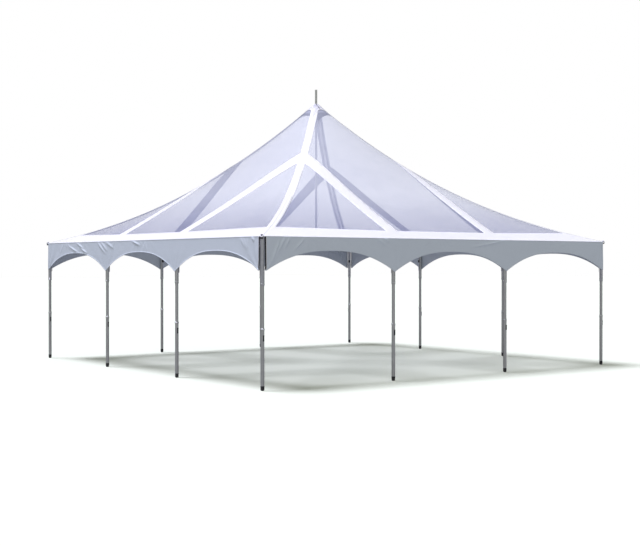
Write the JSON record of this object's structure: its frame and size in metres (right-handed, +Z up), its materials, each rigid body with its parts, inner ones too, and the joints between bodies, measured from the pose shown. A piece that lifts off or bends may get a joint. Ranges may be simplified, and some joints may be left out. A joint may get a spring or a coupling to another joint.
{
  "type": "high-peak frame tent",
  "caption": "Square party tent on tube legs with a clear peaked roof, white roof bands, a scalloped valance and a cable-carried mast.",
  "frame": {"origin": "on the ground at the centre of the square plan", "axes": "+Z up, +Y from the front side to the back side, +X to the right"},
  "size_m": [9.23, 9.23, 6.3],
  "materials": {
    "tube_aluminium": "mill-finish drawn tube, lightly scuffed",
    "cast_fitting": "cast and welded fittings, dull grey",
    "steel_cable": "galvanised stranded wire rope with swaged ends",
    "clear_film": "clear soft vinyl film with a faint lavender tint",
    "white_vinyl": "satin white coated fabric",
    "valance_vinyl": "satin white coated fabric, seen in shade",
    "black_rubber": "moulded leg feet",
    "black_plastic": "clips and buckles",
    "white_webbing": "woven strap",
    "zinc_hardware": "zinc-plated pins, rings and buckles"
  },
  "bodies": {
    "root": {"leg_lower_01": "tube_aluminium", "leg_lower_02": "tube_aluminium", "leg_lower_03": "tube_aluminium", "leg_lower_04": "tube_aluminium", "leg_lower_05": "tube_aluminium", "leg_lower_06": "tube_aluminium", "leg_lower_07": "tube_aluminium", "leg_lower_08": "tube_aluminium", "leg_lower_09": "tube_aluminium", "leg_lower_10": "tube_aluminium", "leg_lower_11": "tube_aluminium", "leg_lower_12": "tube_aluminium", "leg_upper_01": "tube_aluminium", "leg_upper_02": "tube_aluminium", "leg_upper_03": "tube_aluminium", "leg_upper_04": "tube_aluminium", "leg_upper_05": "tube_aluminium", "leg_upper_06": "tube_aluminium", "leg_upper_07": "tube_aluminium", "leg_upper_08": "tube_aluminium", "leg_upper_09": "tube_aluminium", "leg_upper_10": "tube_aluminium", "leg_upper_11": "tube_aluminium", "leg_upper_12": "tube_aluminium", "side_rail_front": "tube_aluminium", "side_rail_right": "tube_aluminium", "side_rail_back": "tube_aluminium", "side_rail_left": "tube_aluminium", "corner_fitting_1": "cast_fitting", "corner_fitting_2": "cast_fitting", "corner_fitting_3": "cast_fitting", "corner_fitting_4": "cast_fitting", "mast": "tube_aluminium", "mast_hub": "cast_fitting", "cable_1": "steel_cable", "cable_2": "steel_cable", "cable_3": "steel_cable", "cable_4": "steel_cable", "roof_film_front": "clear_film", "roof_film_right": "clear_film", "roof_film_back": "clear_film", "roof_film_left": "clear_film", "band_web": "white_vinyl", "crown": "white_vinyl", "valance_front": "valance_vinyl", "valance_right": "valance_vinyl", "valance_back": "valance_vinyl", "valance_left": "valance_vinyl"}
  },
  "joints": []
}
